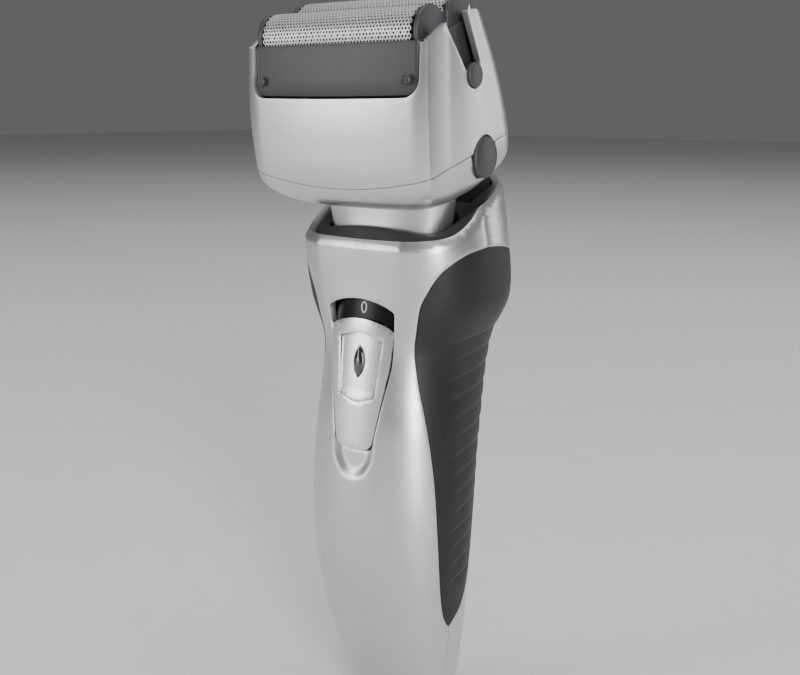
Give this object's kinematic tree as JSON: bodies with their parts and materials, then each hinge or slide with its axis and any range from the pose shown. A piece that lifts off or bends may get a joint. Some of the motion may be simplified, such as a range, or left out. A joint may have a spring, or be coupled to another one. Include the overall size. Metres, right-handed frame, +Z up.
{
  "type": "foil shaver",
  "caption": "Upright cordless foil shaver with a leaning swivel head, slide switch, rubber side grips, lift-off foil frame and a pop-up trimmer at the back.",
  "frame": {"origin": "centre of the power inlet, in the flat base the shaver stands on", "axes": "+Z up, -Y towards the front with the slide switch, +X to the right as seen from the front"},
  "size_m": [0.0464, 0.0488, 0.16],
  "materials": {
    "silver_body": "satin silver paint",
    "rubber_grip": "matte",
    "dark_plastic": "satin",
    "black_plastic": "satin",
    "seal_rubber": "matte",
    "bright_silver": "satin bright silver paint",
    "black_window": "glossy",
    "steel": "bright",
    "foil_steel": "fine perforated mesh",
    "inner_frame": "satin",
    "ivory_plastic": "satin",
    "cell_wrap": "satin wrap",
    "board": "solder resist",
    "lamp": "translucent"
  },
  "bodies": {
    "handle": {"front_shell": "silver_body", "rear_shell": "silver_body", "grip_left": "rubber_grip", "grip_right": "rubber_grip", "base_cap": "dark_plastic", "base_seal": "seal_rubber", "inlet_socket": "black_plastic", "contact_pins": "steel", "collar": "dark_plastic", "chassis": "inner_frame", "chassis_screws": "steel", "battery": "cell_wrap", "battery_tabs": "steel", "circuit_board": "board", "charge_lamp": "lamp", "slide_contacts": "steel", "motor": "steel", "switch_window": "black_window", "trimmer_housing": "dark_plastic"},
    "switch": {"switch_plate": "silver_body", "thumb_pad": "bright_silver", "switch_stem": "black_plastic"},
    "lock": {"lock_button": "black_window"},
    "rotor": {"rotor": "steel"},
    "head": {"neck": "silver_body", "head_base": "silver_body", "head_deck": "inner_frame", "deck_screws": "steel", "latch_springs": "steel"},
    "frame_button_left": {"frame_button_left": "dark_plastic"},
    "frame_button_right": {"frame_button_right": "dark_plastic"},
    "frame": {"foil_frame": "silver_body", "foil_holder": "dark_plastic", "holder_pins": "dark_plastic"},
    "foil_button_left": {"foil_button_left": "dark_plastic"},
    "foil_button_right": {"foil_button_right": "dark_plastic"},
    "foil_front": {"foil_front": "foil_steel", "foil_caps_front": "dark_plastic"},
    "foil_rear": {"foil_rear": "foil_steel", "foil_caps_rear": "dark_plastic"},
    "arm_front": {"drive_arm_front": "ivory_plastic", "blade_springs_front": "steel"},
    "arm_rear": {"drive_arm_rear": "ivory_plastic", "blade_springs_rear": "steel"},
    "blade_front": {"inner_blade_front": "steel"},
    "blade_rear": {"inner_blade_rear": "steel"},
    "trimmer": {"trimmer_carriage": "dark_plastic", "trimmer_comb": "steel", "trimmer_knob": "dark_plastic"},
    "cutter": {"trimmer_cutter": "steel"}
  },
  "joints": [
    {"name": "switch_slide", "type": "slide", "parent": "handle", "child": "switch", "axis": [0, 0.1115, 0.9938], "range_m": [0, 0.0035]},
    {"name": "lock_press", "type": "slide", "parent": "switch", "child": "lock", "axis": [0, 0.9938, -0.1115], "range_m": [0, 0.0008], "stiffness_N_per_m": 400},
    {"name": "motor_spin", "type": "hinge", "parent": "handle", "child": "rotor", "pos_m": [0, -0.0022, 0.104], "axis": [0, 0, 1], "continuous": true},
    {"name": "head_swivel", "type": "hinge", "parent": "handle", "child": "head", "pos_m": [0, 0, 0.112], "axis": [1, 0, 0], "range_deg": [-4, 4], "stiffness_Nm_per_rad": 1.5},
    {"name": "frame_press_left", "type": "slide", "parent": "head", "child": "frame_button_left", "axis": [1, 0, 0], "range_m": [0, 0.001], "stiffness_N_per_m": 400},
    {"name": "frame_press_right", "type": "slide", "parent": "head", "child": "frame_button_right", "axis": [-1, 0, 0], "range_m": [0, 0.001], "stiffness_N_per_m": 400},
    {"name": "frame_lift", "type": "slide", "parent": "head", "child": "frame", "axis": [0, -0.2756, 0.9613], "range_m": [0, 0.028]},
    {"name": "foil_press_left", "type": "slide", "parent": "frame", "child": "foil_button_left", "axis": [1, 0, 0], "range_m": [0, 0.0007], "stiffness_N_per_m": 400},
    {"name": "foil_press_right", "type": "slide", "parent": "frame", "child": "foil_button_right", "axis": [-1, 0, 0], "range_m": [0, 0.0007], "stiffness_N_per_m": 400},
    {"name": "foil_float_front", "type": "slide", "parent": "frame", "child": "foil_front", "axis": [0, 0.2756, -0.9613], "range_m": [0, 0.0008], "stiffness_N_per_m": 600},
    {"name": "foil_float_rear", "type": "slide", "parent": "frame", "child": "foil_rear", "axis": [0, 0.2756, -0.9613], "range_m": [0, 0.0008], "stiffness_N_per_m": 600},
    {"name": "blade_swing_front", "type": "slide", "parent": "head", "child": "arm_front", "axis": [1, 0, 0], "range_m": [-0.0011, 0.0011], "stiffness_N_per_m": 300},
    {"name": "blade_swing_rear", "type": "slide", "parent": "head", "child": "arm_rear", "axis": [1, 0, 0], "range_m": [-0.0011, 0.0011]},
    {"name": "blade_float_front", "type": "slide", "parent": "arm_front", "child": "blade_front", "axis": [0, 0.2756, -0.9613], "range_m": [0, 0.0008]},
    {"name": "blade_float_rear", "type": "slide", "parent": "arm_rear", "child": "blade_rear", "axis": [0, 0.2756, -0.9613], "range_m": [0, 0.0008]},
    {"name": "trimmer_slide", "type": "slide", "parent": "handle", "child": "trimmer", "axis": [0, 0, 1], "range_m": [0, 0.008]},
    {"name": "cutter_swing", "type": "slide", "parent": "trimmer", "child": "cutter", "axis": [1, 0, 0], "range_m": [-0.001, 0.001], "stiffness_N_per_m": 300}
  ],
  "couplings": [
    {"joint": "blade_swing_rear", "follows": "blade_swing_front", "ratio": -1},
    {"joint": "blade_float_front", "follows": "foil_float_front", "ratio": 1},
    {"joint": "blade_float_rear", "follows": "foil_float_rear", "ratio": 1}
  ]
}
